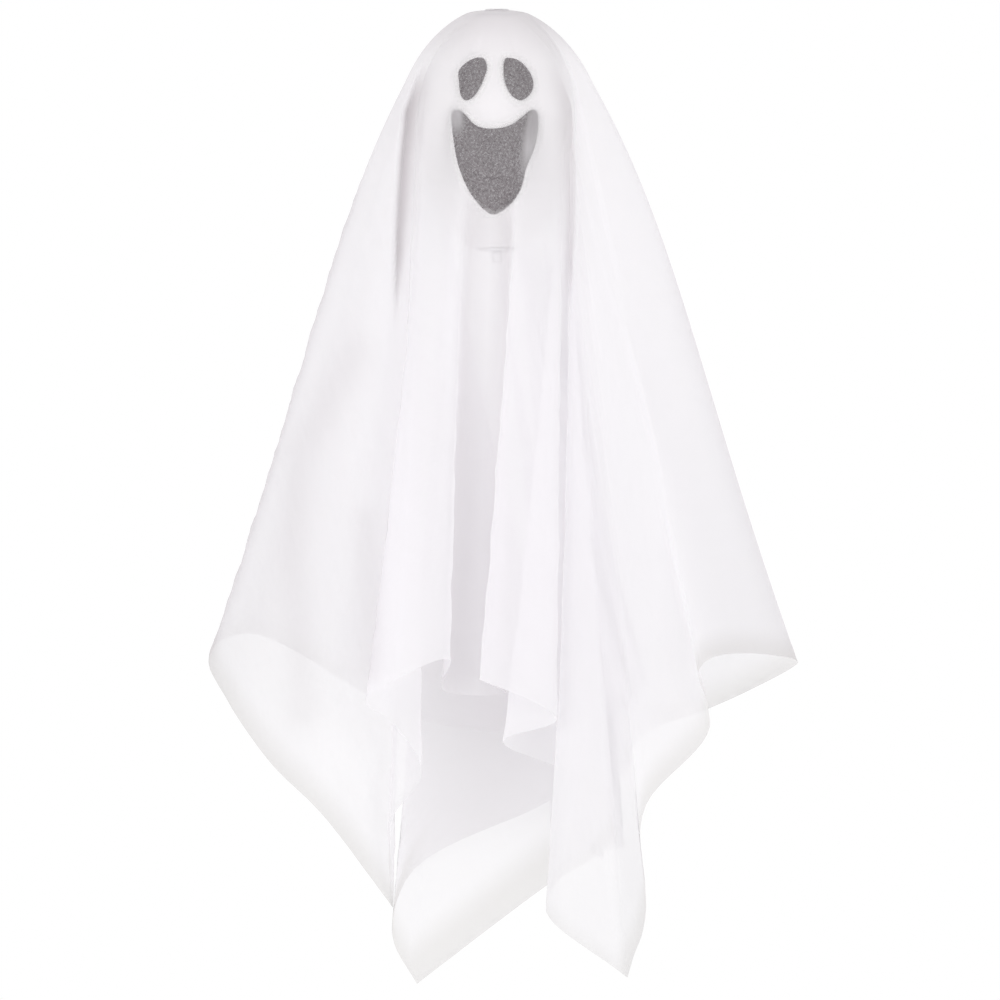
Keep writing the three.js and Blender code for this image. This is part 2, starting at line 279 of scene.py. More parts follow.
cloth = {
    "halfWidth": 360, "front": 352, "back": 368,   # flat sheet, mm
    "lift": 2.2,               # head to the middle of the cloth
    "settle": 50,              # along the cloth, where a fold line has turned to its own angle
    "swellAt": 0.45, "swellPower": 1.6,   # share of a fold line where it swells most, and how narrowly
    "firstRow": 3.9,           # the cloth's edge inside the eyelet
    "crownLength": 120, "crownRows": 60, "skirtRows": 84, "columns": 10,   # columns from fold to fold
    "hem": 3.0, "hemRows": 3,
    "headSteps": 48, "hangSteps": 40,     # steps of a fold line on the head and below it
    "heightTries": 36,         # halvings that find how low a fold line hangs
    "ripple": 0.8, "rippleWidth": 17, "rippleLength": 230, "rippleSeed": 3.7,
    "evenOver": 150, "growth": 1.3,   # how a fold grows from an even curve at the head to its own place
    "plainHem": [(432, 1030), (1440, 1740), (1960, 2760)],   # stretches whose hem has no darker rim
    "plainHemSoft": 40,        # how softly such a stretch ends
    "pleat": 9, "pleatWidth": 46, "pleatSpans": [(2030, 2700)], "pleatSoft": 60,
}
# fold lines clockwise from the right tip: place on the hem of the flat sheet, where that hangs (mm),
# the angle at which the line leaves the head, outward swell (mm), what small creases take up (mm; less
# than 0 where the cloth gives), and how late the fold grows, where it isn't the cloth's own growth
folds = [
    ((1, -0.06), (145, -35), -2, 24, 1, 1),
    ((1, -0.3), (95, -96), -8, 9, 15, 3),
    ((1, -0.42), (100, -90), -10, 4, 5, 3),
    ((1, -0.6), (70, -98), -12, 1, 1, 2.6),
    ((1, -0.84), (69, -113), -14, 2, -4, 2.4),
    ((1, -1), (60, -140), -16, 3, 2, 2.2),
    ((0.83, -1), (23, -124), -20, 1, -7, 2.4),
    ((0.77, -1), (24, -102), -22, 0, -9, 2),
    ((0.56, -1), (56, -36), -25, 0, 0, 1.5),
    ((0.4, -1), (3, -84), -28, 0, -5, 1.5),
    ((0.29, -1), (28, -110), -34, 0, -11, 1),
    ((0.15, -1), (-8, -106), -66, 0, 2, 1),
    ((0.05, -1), (4, -74), -82, 0, -2, 1),
    ((-0.06, -1), (-25, -76), -102, 0, -1, 1),
    ((-0.17, -1), (-22, -112), -119, 0, 11, 1),
    ((-0.31, -1), (-45, -124), -156, 0, 3, 1),
    ((-0.44, -1), (-61, -122), -160, 0, 8, 1.5),
    ((-0.54, -1), (-49, -128), -162, 0, 15, 1.3),
    ((-0.66, -1), (-35, -104), -164, 0, 22, 1.3),
    ((-0.78, -1), (-50, -98), -166, 0, 24, 1.5),
    ((-0.88, -1), (-50, -90), -167, 0, 23, 2),
    ((-1, -1), (-49, -80), -169, 3, 42),
    ((-1, -0.8), (-79, -104), -171, 6, 30),
    ((-1, -0.59), (-108, -92), -174, 10, 14),
    ((-1, -0.42), (-129, -68), -177, 14, 14),
    ((-1, -0.26), (-139, -31), -182, 20, 16, 1),
    ((-1, -0.06), (-117, 30), -191, 7, 20),
    ((-1, 0.16), (-42, 32), -203, 1, -4),
    ((-1, 0.38), (34, 34), -212, 0, -4),
    ((-1, 0.56), (30, 54), -220, 0, 0),
    ((-1, 0.82), (-47, 96), -228, 2, 8),
    ((-1, 0.93), (-53, 103), -232, 2, 2),
    ((-1, 1), (-41, 104), -236, 3, 0),
    ((-0.76, 1), (24, 92), -243, 3, -6),
    ((-0.62, 1), (58, 76), -250, 4, -12),
    ((-0.39, 1), (28, 14), -259, 0, 12),
    ((-0.15, 1), (68, -16), -267, 1, 6),
    ((0.02, 1), (36, 30), -273, 0, 4),
    ((0.2, 1), (72, 58), -279, 1, 4),
    ((0.4, 1), (24, 106), -286, 3, 4),
    ((0.6, 1), (56, 92), -295, 0, 4),
    ((0.8, 1), (35, 120), -306, 5, 30),
    ((1, 1), (58, 146), -313, 5, 50),
    ((1, 0.8), (56, 100), -320, 1, 26),
    ((1, 0.6), (64, 92), -326, 1, 12),
    ((1, 0.42), (76, 66), -333, 1, 8),
    ((1, 0.28), (103, 44), -341, 3, 0),
    ((1, 0.14), (124, 22), -350, 9, -4),
]

# how far past the felt the taut single layer reaches, and how softly it ends (mm)
taut = {"grow": 0.2, "soft": 3.4}
# grooves beside the cheeks, whose strength sets both how far the cloth is drawn back and how much
# painted
# shade it gets there: strength and route as [across, down from the head's top]; how far down they start,
# are full, fade and end; how wide on the side of the face and on the outer side, how deep, and the depth
# in front of which the cloth takes part (mm); how much they narrow, from where to where
pinch = {"routes": [(1.0, [(-37.6, 28), (-43.8, 46), (-46.2, 70), (-48.2, 106), (-49.2, 150)]),
                    (0.36, [(29, 28), (34.8, 46), (37, 70), (37, 106), (34.5, 150)])],
         "start": 18, "full": 48, "fade": 112, "end": 156, "inner": 5.4, "outer": 1.4, "depth": 9,
         "frontOf": 2, "narrowing": 0.6, "narrowFrom": 80, "narrowTo": 150}
# painted shade on the cloth where folds lie deep: place on the hem, strength, half width at the hem
# (mm), and the share of the cloth's length where it comes in
shades = [
    ((0.05, -1), 0.34, 20, 0.3), ((-0.06, -1), 0.3, 22, 0.3), ((-1, -0.06), 0.4, 20, 0.4),
    ((-1, 0.3), 0.26, 60, 0.5), ((-1, 0.68), 0.24, 44, 0.5),
    ((-1, -0.26), 0.4, 20, 0.3), ((1, -0.08), 0.14, 14, 0.4),
]
shadeRise = 0.16   # share of the cloth's length over which it comes in
# painted shade where inner folds show through the front: strength, half width (mm) and route as [across,
# height]
showThroughShades = [(0.2, 10, [(-68, -165), (-96, -212)]), (0.2, 8, [(-96, -212), (-97, -262), (-91, -335)]),
         (0.18, 7, [(-62, -245), (-60, -312)])]
# painted shade on the crown round the eyelet: strength, from how far below the head's top to how far
# above
crownPaintedShade = {"strength": 0.3, "below": 30, "above": 1}
# gathered strips of the taut stretch, where the felt shows less: place, half width and height, lean
# (mm), and how closed: above 1 the strip is denser than the free cloth
gathers = [
    (17, 60, 2.8, 13, -0.17, 1.7),
    (-19.8, 51.5, 2.6, 6, 0.1, 1.5),
]

head = {"radius": 37.5, "halfHeight": 60, "topCut": 3.2, "bottomCut": 3.6, "sideSteps": 64,
        "segments": 144, "bevel": 0.4}
headTop = headHigh[2] / mm
headCentre = headTop + head["topCut"] - head["halfHeight"]
eggRadius = head["radius"] + cloth["lift"]
eggHalfHeight = head["halfHeight"] + cloth["lift"]
crownHeight = (eyeletLow[2] + eyeletHigh[2]) / 2 / mm


def smoothStep(value, start, end):
    share = min(1, max(0, (value - start) / (end - start)))
    return share * share * (3 - 2 * share)


def withinSpans(around, spans, soft):
    # 1 inside a stretch of the hem, 0 outside, with soft ends
    return max(smoothStep(around, a, a + soft) * (1 - smoothStep(around, b - soft, b)) for a, b in spans)


def sheetPoint(place):
    # a place on the hem, in mm on the flat sheet
    across, back = place
    return Vector((across * cloth["halfWidth"], back * (cloth["front"] if back < 0 else cloth["back"])))


def aroundHem(place):
    # distance round the flat sheet's hem, clockwise from the middle of its right side
    across, back = place
    width, front, rear = cloth["halfWidth"], cloth["front"], cloth["back"]
    y = back * (front if back < 0 else rear)
    if across == 1 and back <= 0:
        return -y
    if back == -1:
        return front + width - across * width
    if across == -1:
        return front + 2 * width + front + y
    if back == 1:
        return 2 * front + 2 * width + rear + width + across * width
    return 2 * (front + rear + 2 * width) - y


circuit = 2 * (cloth["front"] + cloth["back"] + 2 * cloth["halfWidth"])


def evenHang(place):
    # where a fold line would hang if it and its neighbours shared one smooth curve
    total, spot = 0, Vector((0, 0))
    for other in folds:
        apart = (aroundHem(other[0]) - aroundHem(place) + circuit / 2) % circuit - circuit / 2
        weight = math.exp(-(apart / cloth["evenOver"]) ** 2)
        total += weight
        spot += Vector(other[1]) * weight
    return spot / total


evenPlaces = {fold[0]: evenHang(fold[0]) for fold in folds}


def hangingLine(fold, height):
    # a fold line from the crown over the head, and then on to its place at this height
    place, hang, headAngle = fold[:3]
    flat, even = sheetPoint(place), evenPlaces[place]
    growth = fold[5] if len(fold) > 5 else cloth["growth"]
    leaveAt = math.radians(headAngle)
    turn = (math.atan2(flat.y, flat.x) - leaveAt + math.pi) % (2 * math.pi) - math.pi
    a = even.length / eggRadius
    b = (height - headCentre) / eggHalfHeight
    endAngle = math.atan2(b, a) + math.acos(min(1, 1 / math.hypot(a, b)))
    points, along, last, steps = [], 0, None, cloth["headSteps"]
    for i in range(steps + 1):
        angle = math.pi / 2 + (endAngle - math.pi / 2) * i / steps
        radius = eggRadius * math.cos(angle)
        z = min(crownHeight, headCentre + eggHalfHeight * math.sin(angle))
        if last:
            along += math.hypot(radius - last[0], z - last[1])
        last = (radius, z)
        heading = leaveAt + turn * (1 - smoothStep(along, 0, cloth["settle"]))
        points.append(Vector((radius * math.cos(heading), radius * math.sin(heading), z)))
    leave, steps = points[-1], cloth["hangSteps"]
    for i in range(1, steps + 1):
        spot = leave.xy.lerp(even, i / steps) + (Vector(hang) - even) * (i / steps) ** growth
        points.append(Vector((*spot, leave.z + (height - leave.z) * i / steps)))
    return points


def lengthsOf(points):
    # the length of the line up to each of its points
    along = [0]
    for a, b in zip(points, points[1:]):
        along.append(along[-1] + (b - a).length)
    return along


def settledLine(fold):
    # the hem hangs as low as the length of the cloth lets it
    target = sheetPoint(fold[0]).length - fold[4]
    low, high = -2 * cloth["back"], headCentre
    for _ in range(cloth["heightTries"]):
        height = (low + high) / 2
        if lengthsOf(hangingLine(fold, height))[-1] > target:
            low = height
        else:
            high = height
    return hangingLine(fold, (low + high) / 2)


def rowPlaces(total):
    # along a fold line: even rows over the head, then even rows to the hem
    first, crown = cloth["firstRow"], cloth["crownLength"]
    crownRows, skirtRows, hemRows = cloth["crownRows"], cloth["skirtRows"], cloth["hemRows"]
    hemStart = total * (1 - cloth["hem"] / cloth["halfWidth"])
    places = [first + (crown - first) * i / crownRows for i in range(crownRows)]
    places += [crown + (hemStart - crown) * i / skirtRows for i in range(skirtRows)]
    return places + [hemStart + (total - hemStart) * i / hemRows for i in range(hemRows + 1)]


def shapedPoint(point, share, hang, swell):
    # kept off the head, and swollen outwards
    up = min(1, max(-1, (point.z - headCentre) / eggHalfHeight))
    least = eggRadius * math.sqrt(1 - up * up) if point.z > headLow[2] / mm else 0
    radius = math.hypot(point.x, point.y)
    out = least / radius if 0 < radius < least and share > 0.05 else 1
    q = share / cloth["swellAt"]
    push = swell * (q * math.exp(1 - q)) ** cloth["swellPower"] * (1 - share) / math.hypot(*hang)
    return Vector((point.x * out + push * hang[0], point.y * out + push * hang[1], point.z))


def foldPoints(fold):
    # the cloth's rows on a fold line
    line = settledLine(fold)
    along = lengthsOf(line)
    total = along[-1]
    points, i = [], 1
    for place in rowPlaces(total):
        while i < len(along) - 1 and along[i] < place:
            i += 1
        k = min(1, (place - along[i - 1]) / (along[i] - along[i - 1]))
        points.append(shapedPoint(line[i - 1].lerp(line[i], k), place / total, fold[1], fold[3]))
    return points


def smoothBetween(before, start, end, after, gaps, share, breaks=(False, False)):
    # a smooth curve through four fold lines' points, at a share of the way between the middle two
    one, two, three = gaps
    straight = (end - start) / two
    slopeStart = slopeEnd = straight
    if not breaks[0]:
        slopeStart = (straight * one + (start - before) / one * two) / (one + two)
    if not breaks[1]:
        slopeEnd = ((after - end) / three * two + straight * three) / (two + three)
    s2, s3 = share * share, share ** 3
    return ((2 * s3 - 3 * s2 + 1) * start + (s3 - 2 * s2 + share) * two * slopeStart
            + (3 * s2 - 2 * s3) * end + (s3 - s2) * two * slopeEnd)


def clothColumns():
    # every column of the cloth: its points, its place on the flat sheet and round the hem, and its rows
    lines = [foldPoints(fold) for fold in folds]
    count = len(folds)
    places = [aroundHem(fold[0]) for fold in folds]
    columns = []
    for i in range(count):
        near = [(i + k) % count for k in (-1, 0, 1, 2)]
        gaps = [(places[b] - places[a]) % circuit for a, b in zip(near, near[1:])]
        flatStart, flatEnd = sheetPoint(folds[i][0]), sheetPoint(folds[near[2]][0])
        breaks = [abs(folds[n][0][0]) == abs(folds[n][0][1]) == 1 for n in near[1:3]]
        for k in range(cloth["columns"]):
            share = k / cloth["columns"]
            points = [smoothBetween(*(lines[n][row] for n in near), gaps, share, breaks)
                      for row in range(len(lines[0]))]
            flat = flatStart.lerp(flatEnd, share)
            columns.append((points, flat, places[i] + gaps[1] * share, rowPlaces(flat.length)))
    return columns


def clearOfHead(point):
    # the point, moved out to the cloth's place on the head where it would be nearer
    up = (point.z - headCentre) / eggHalfHeight
    fit = math.hypot(point.x, point.y) ** 2 / eggRadius ** 2 + up * up
    if point.z > crownHeight - 1 or fit >= 1 or up < -0.95:
        return point
    centre = Vector((0, 0, headCentre))
    return centre + (point - centre) / math.sqrt(fit)


def pinched(point):
    # how strongly the front of the cloth is drawn back into the grooves beside the cheeks, 0 to 1; the
    # same amount is painted shade there
    down, back = headTop - point.z, 0
    if point.y > pinch["frontOf"] or not pinch["start"] < down < pinch["end"]:
        return 0
    for strength, route in pinch["routes"]:
        i = max(k for k, spot in enumerate(route[:-1]) if down >= spot[1] or k == 0)
        (x0, y0), (x1, y1) = route[i], route[i + 1]
        across = point.x - x0 - (x1 - x0) * (down - y0) / (y1 - y0)
        narrow = pinch["narrowing"] * smoothStep(down, pinch["narrowFrom"], pinch["narrowTo"])
        across /= pinch["outer" if across * x0 > 0 else "inner"] * (1 - narrow)
        back = max(back, strength * math.exp(-across * across))
    along = smoothStep(down, pinch["start"], pinch["full"])
    along *= 1 - smoothStep(down, pinch["fade"], pinch["end"])
    return back * along


def creaseShade(around, row, rows):
    # painted shade of the deep folds below the chin, from the fold lines' own painted shades
    shade = 0
    for place, strength, width, start in shades:
        apart = (around - aroundHem(place)) / width
        comeIn = smoothStep(row / rows, start, start + shadeRise)
        shade = max(shade, strength * math.exp(-apart * apart) * comeIn)
    return shade


def veilShade(point):
    # painted shade on the crown round the eyelet and where inner folds show through the front
    shade = crownPaintedShade["strength"] * smoothStep(
        point.z, headTop - crownPaintedShade["below"], headTop + crownPaintedShade["above"])
    if point.y < 0:
        spot = Vector((point.x, point.z))
        for strength, width, route in showThroughShades:
            for a, b in zip(route, route[1:]):
                start, side = Vector(a), Vector(b) - Vector(a)
                share = min(1, max(0, (spot - start).dot(side) / side.length_squared))
                apart = (spot - start - side * share).length / width
                shade = max(shade, strength * math.exp(-apart * apart))
    return shade


def overFelt(point, outlines):
    # 1 where a single taut layer lies over the felt, 0 where the cloth is gathered or hangs free
    if point.y > 0 or point.z < headLow[2] / mm:
        return 0
    spot = Vector((point.x, headTop - point.z))
    mask = max(1 - smoothStep(outsideBy(spot, outline), taut["grow"], taut["grow"] + taut["soft"])
               for outline in outlines)
    for x, down, halfWidth, halfHeight, lean, strength in gathers:
        across = (spot.x - x - lean * (spot.y - down)) / halfWidth
        along = (spot.y - down) / halfHeight
        mask *= 1 - strength * math.exp(-across * across - along * along)
    return mask


def outsideBy(spot, outline):
    # distance from a closed outline, 0 inside it
    nearest, inside = 1e9, False
    for a, b in zip(outline, outline[1:] + outline[:1]):
        side = b - a
        share = min(1, max(0, (spot - a).dot(side) / max(1e-9, side.length_squared)))
        nearest = min(nearest, (spot - a - side * share).length)
        if (a.y > spot.y) != (b.y > spot.y) and spot.x < a.x + side.x * (spot.y - a.y) / side.y:
            inside = not inside
    return 0 if inside else nearest


def layCloth(columns):
    # one turned sheet whose points then take their places, and its flat cut as a UV map
    count, rows = len(columns), len(columns[0][0])
    bm = bmesh.new()
    chain = [bm.verts.new((row + 1, 0, 0)) for row in range(rows)]
    edges = [bm.edges.new(pair) for pair in zip(chain, chain[1:])]
    bmesh.ops.spin(bm, geom=chain + edges, cent=(0, 0, 0), axis=(0, 0, 1), dvec=(0, 0, 0),
                   angle=-2 * math.pi, steps=count, use_merge=True, use_duplicate=False)
    flat = bm.loops.layers.uv.new("flatSheet")
    for name in ("paintedShade", "overFelt", "rimmed"):
        bm.verts.layers.float.new(name)
    where = {}   # column and row of each point
    for vert in bm.verts:
        angle = -math.atan2(vert.co.y, vert.co.x) / (2 * math.pi) % 1
        where[vert] = (round(angle * count) % count, round(vert.co.xy.length) - 1)
    for vert, (column, row) in where.items():
        vert.co = columns[column][0][row]
    for face in bm.faces:
        for loop in face.loops:
            column, row = where[loop.vert]
            hemPlace, along = columns[column][1], columns[column][3][row]
            share = along / hemPlace.length
            loop[flat].uv = (0.5 + hemPlace.x * share / (2 * cloth["halfWidth"]),
                             0.5 + hemPlace.y * share / (2 * cloth["halfWidth"]))
    bmesh.ops.recalc_face_normals(bm, faces=bm.faces)
    bm.normal_update()
    return bm, where


def rippleMove(vert, around, along, share):
    # small ripples all over, and pleats at the back
    wave = noise.noise(Vector((around * share / cloth["rippleWidth"], along / cloth["rippleLength"],
                               cloth["rippleSeed"])))
    push = wave * cloth["ripple"] * smoothStep(share, 0.2, 0.6)
    inside = withinSpans(around, cloth["pleatSpans"], cloth["pleatSoft"])
    pleat = math.sin(2 * math.pi * around / cloth["pleatWidth"]) * smoothStep(share, 0.35, 0.75)
    return vert.normal * (push + cloth["pleat"] * inside * pleat)


def makeCloth(material):
    columns = clothColumns()
    rows = len(columns[0][0])
    bm, where = layCloth(columns)
    paintedShade, sheer, rim = (bm.verts.layers.float[name] for name in ("paintedShade", "overFelt", "rimmed"))
    moves = {vert: rippleMove(vert, columns[column][2], columns[column][3][row], row / rows)
             for vert, (column, row) in where.items()}
    outlines = [closedCurve(felts[name]["outline"], 3) for name in ("rightEye", "leftEye", "mouth")]
    for vert, (column, row) in where.items():
        around = columns[column][2]
        vert.co += moves[vert]
        back = pinched(vert.co)
        vert.co = clearOfHead(vert.co + Vector((0, back * pinch["depth"], 0)))
        vert[rim] = 1 - withinSpans(around, cloth["plainHem"], cloth["plainHemSoft"])
        # painted shade: the groove pinch, the crown, the inner folds that show through and the deep
        # folds darken the colour
        vert[paintedShade] = max(back, veilShade(vert.co), creaseShade(around, row, rows))
        vert[sheer] = overFelt(vert.co, outlines)
    obj = addPiece("cloth", bm, "ghost", material, ["shroud", "shroud_crown"])
    area = sum(face.area for face in obj.data.polygons)
    print("cloth area in square metres:", round(area, 3))
    return obj


# Head, felt face and hanger

# eyes and mouth: outlines as [across, down from the head's top], and their middles (mm)
felts = {
    "gap": 0.3, "thick": 0.8, "rings": 9, "stepsPerPoint": 8,
    "fuzz": 0.06, "fuzzScale": 1.6, "fuzzSeed": 1.3,
    "rightEye": {"middle": (10.3, 33.2), "outline": [(4, 23.7), (7, 23.5), (11, 25), (15.2, 29.8),
                 (17.1, 35.2), (16, 40.2), (11.6, 43.8), (7.6, 42), (4.4, 36.8), (3.2, 29.4)]},
    "leftEye": {"middle": (-11.9, 32.4), "outline": [(-9.5, 23.2), (-6.6, 23.4), (-4.8, 27.4),
                (-6.4, 33.5), (-9.8, 40.3), (-12.6, 43.1), (-15.4, 43.5), (-17, 41), (-17.8, 34.5),
                (-17.9, 29.4), (-13.8, 25)]},
    "mouth": {"middle": (-1.5, 72), "outline": [(-20.8, 49), (-19, 48.2), (-16.9, 49), (-9.5, 56.3),
              (-1.5, 57.7), (6, 56.1), (12, 52), (16, 48.7), (18.2, 48.6), (19.4, 55.7), (17.7, 66.2),
              (13.6, 76.6), (11.3, 85.6), (6.5, 92.9), (-2, 97.8), (-10.8, 90.2), (-17.5, 76.6),
              (-20.6, 60.6)]},
}


def onHead(x, z, lift):
    # a point on the front of the head, lifted off it
    up = (z - headCentre) / head["halfHeight"]
    depth = math.sqrt(max(0.01, 1 - up * up - (x / head["radius"]) ** 2))
    point = Vector((x, -head["radius"] * depth, z))
    normal = Vector((x / head["radius"] ** 2, point.y / head["radius"] ** 2, up / head["halfHeight"]))
    return point + normal.normalized() * lift


def closedCurve(points, steps):
    # a smooth closed line through the points
    curve, count = [], len(points)
    for i in range(count):
        near = [Vector(points[(i + k) % count]) for k in (-1, 0, 1, 2)]
        gaps = [max(0.1, (b - a).length) ** 0.5 for a, b in zip(near, near[1:])]
        curve += [smoothBetween(*near, gaps, k / steps) for k in range(steps)]
    return curve


def makeFelt(name, felt, node, material):
    edge = closedCurve(felt["outline"], felts["stepsPerPoint"])
    middle = Vector(felt["middle"])
    bm = bmesh.new()
    bmesh.ops.create_circle(bm, segments=len(edge), radius=1, cap_ends=True)
    rim = sorted(bm.verts, key=lambda v: v.index)
    for vert, place in zip(rim, edge):
        vert.co = (place.x, 0, place.y)
    bmesh.ops.delete(bm, geom=bm.faces[:], context="FACES_ONLY")
    edges = bm.edges[:]
    for ring in range(1, felts["rings"] + 1):
        grown = bmesh.ops.extrude_edge_only(bm, edges=edges)["geom"]
        verts = [g for g in grown if isinstance(g, bmesh.types.BMVert)]
        edges = [g for g in grown if isinstance(g, bmesh.types.BMEdge)]
        shrink = (felts["rings"] - ring) / (felts["rings"] - ring + 1)
        for vert in verts:
            vert.co.x = middle.x + (vert.co.x - middle.x) * shrink
            vert.co.z = middle.y + (vert.co.z - middle.y) * shrink
    bmesh.ops.remove_doubles(bm, verts=bm.verts, dist=1e-4)
    for vert in bm.verts:
        x, z = vert.co.x, headTop - vert.co.z
        fuzz = felts["fuzz"] * noise.noise(Vector((x, z, felts["fuzzSeed"])) * felts["fuzzScale"])
        vert.co = onHead(x, z, felts["gap"] + felts["thick"] + fuzz)
    bmesh.ops.recalc_face_normals(bm, faces=bm.faces)
    if sum(f.normal.y for f in bm.faces) > 0:
        bmesh.ops.reverse_faces(bm, faces=bm.faces)
    bmesh.ops.solidify(bm, geom=bm.faces, thickness=felts["thick"])
    bmesh.ops.recalc_face_normals(bm, faces=bm.faces)
    addPiece(name, bm, "ghost", material, [node])


def makeHead(material):
    low = math.asin(1 - head["bottomCut"] / head["halfHeight"])
    high = math.asin(1 - head["topCut"] / head["halfHeight"])
    bore, steps = hanger["bore"], head["sideSteps"]
    recess = cupHigh[0] / mm - 1 + hanger["gap"]   # the cup's flange is 1 mm wider than its wall
    recessFloor = cupLow[2] / mm - hanger["gap"]
    angles = [-low + (low + high) * i / steps for i in range(steps + 1)]
    side = [(head["radius"] * math.cos(angle), headCentre + head["halfHeight"] * math.sin(angle))
            for angle in angles]
    profile = [(bore, headLow[2] / mm), *side, (recess, headTop), (recess, recessFloor),
               (bore, recessFloor)]
    bm = turned(profile, head["segments"], head["bevel"])
    addPiece("headForm", bm, "ghost", material, ["head_form"])


def roundRing(centre, radius, wire, segments, sides, upright):
    # a wire ring, turned upright and set at its height
    bm = bmesh.new()
    bmesh.ops.create_circle(bm, segments=sides, radius=wire)
    bmesh.ops.rotate(bm, verts=bm.verts, cent=(0, 0, 0), matrix=Matrix.Rotation(math.pi / 2, 3, "X"))
    bmesh.ops.translate(bm, verts=bm.verts, vec=(radius, 0, 0))
    bmesh.ops.spin(bm, geom=bm.verts[:] + bm.edges[:], cent=(0, 0, 0), axis=(0, 0, 1), dvec=(0, 0, 0),
                   angle=2 * math.pi, steps=segments, use_merge=True, use_duplicate=False)
    bmesh.ops.remove_doubles(bm, verts=bm.verts, dist=1e-4)
    bmesh.ops.rotate(bm, verts=bm.verts, cent=(0, 0, 0), matrix=upright)
    bmesh.ops.translate(bm, verts=bm.verts, vec=(0, 0, centre))
    bmesh.ops.recalc_face_normals(bm, faces=bm.faces)
    return bm


hanger = {"ringRadius": 4.4, "wire": 0.8, "eyeRadius": 2.6, "shaftRadius": 1.2, "washerRadius": 9,
          "stopRadius": 2.6, "eyeletBore": 3.2, "eyeletBarrel": 3.6, "eyeletRim": 6, "eyeletPlate": 0.5,
          "cupMouth": 8.6, "cupOuter": 10, "cupFlange": 11, "cupFlangeThick": 1.2, "cupFloor": 1.5,
          "bore": 1.5, "gap": 0.3, "segments": 72}


def makeHanger(steel, plastic, enamel):
    alongX = Matrix.Rotation(math.pi / 2, 3, "Y")
    alongY = Matrix.Rotation(math.pi / 2, 3, "X")
    ringCentre = (ringLow[2] + ringHigh[2]) / 2 / mm
    ring = roundRing(ringCentre, hanger["ringRadius"], hanger["wire"], 64, 20, alongX)
    addPiece("hangingRing", ring, "ring", steel, ["hanging_ring"])

    eyeCentre = pinHigh[2] / mm - hanger["wire"] - hanger["eyeRadius"]
    pin = roundRing(eyeCentre, hanger["eyeRadius"], hanger["wire"], 56, 20, alongY)
    shaftTop = eyeCentre - hanger["eyeRadius"]
    low, radius = pinLow[2] / mm, hanger["shaftRadius"]
    shaft = turned([(0, low), (radius, low), (radius, shaftTop), (0, shaftTop)], 40, 0.25)
    mesh = bpy.data.meshes.new("shaft")
    shaft.to_mesh(mesh)
    shaft.free()
    pin.from_mesh(mesh)
    bpy.data.meshes.remove(mesh)
    addPiece("hangerPin", pin, "pin", steel, ["hanger_pin"])

    stopBore = hanger["shaftRadius"] + hanger["gap"]
    rounds = [   # the last number is the bevel
        ("endStop", "pin", "steel", steel, "end_stop", 0.3,
         discProfile(stopBore, hanger["stopRadius"], stopLow[2] / mm, stopHigh[2] / mm)),
        ("lowerWasher", "ghost", "steel", steel, "lower_washer", 0.2,
         discProfile(hanger["bore"], hanger["washerRadius"], washerLow[2] / mm, washerHigh[2] / mm)),
        ("hangerCup", "ghost", "white_plastic", plastic, "hanger_cup", 0.25, cupProfile()),
        ("crownEyelet", "ghost", "white_metal", enamel, "crown_eyelet", 0.15, eyeletProfile()),
    ]
    for name, body, slot, material, node, bevel, profile in rounds:
        addPiece(name, turned(profile, hanger["segments"], bevel), body, material, [node])


def discProfile(bore, radius, low, high):
    return [(bore, low), (radius, low), (radius, high), (bore, high)]


def cupProfile():
    low, high = cupLow[2] / mm, cupHigh[2] / mm
    floor, mouth, outer = low + hanger["cupFloor"], hanger["cupMouth"], hanger["cupOuter"]
    under = high - hanger["cupFlangeThick"]
    return [(hanger["bore"], low), (outer, low), (outer, under), (hanger["cupFlange"], under),
            (hanger["cupFlange"], high), (mouth, high), (mouth, floor), (hanger["bore"], floor)]


def eyeletProfile():
    low, high, plate = eyeletLow[2] / mm, eyeletHigh[2] / mm, hanger["eyeletPlate"]
    bore, barrel, rim = hanger["eyeletBore"], hanger["eyeletBarrel"], hanger["eyeletRim"]
    backing = hanger["cupMouth"] - hanger["gap"]   # the lower flange fills the cup's mouth
    return [(bore, low), (backing, low), (backing, low + plate), (barrel, low + plate),
            (barrel, high - plate), (rim, high - plate), (rim, high), (bore, high)]


# Materials

# the cloth's core, hem rim and painted shade, how much of it is thread where it lies over felt and where
# it hangs free, what share of light comes through, and how grainy it looks over felt and elsewhere
finishes = {
    "cloth": {"core": (0.975, 0.965, 0.98, 1), "rim": (0.84, 0.825, 0.818, 1), "rimWidth": 0.017,
              "paintedShade": (0.62, 0.575, 0.595, 1),
              "overFelt": 0.2, "free": 0.54, "through": 0.4, "grain": 0.5, "freeGrain": 0.02,
              "grainScale": 1000, "bump": 0.00004},
    "felt": {"dark": (0.03, 0.012, 0.018, 1), "pale": (0.06, 0.042, 0.047, 1), "grain": 1500},
    "foam": {"color": (0.82, 0.805, 0.805, 1), "shade": (0.78, 0.765, 0.765, 1), "grain": 700},
    "steel": {"color": (0.76, 0.76, 0.77, 1), "worn": (0.66, 0.66, 0.67, 1), "grain": 900},
    "plastic": {"color": (0.86, 0.86, 0.86, 1), "shade": (0.8, 0.8, 0.8, 1), "grain": 1200},
    "enamel": {"color": (0.93, 0.925, 0.925, 1), "shade": (0.88, 0.875, 0.875, 1), "grain": 600},
}


def objectPlace(tree):
    return tree.nodes.new("ShaderNodeTexCoord").outputs["Object"]


def grainOf(tree, grain, scale, depth):
    # the speckle and its bump
    node = useGroup(tree, grain, Place=objectPlace(tree), Grains_per_metre=scale, Depth=depth)
    return node.outputs[0], node.outputs[1]


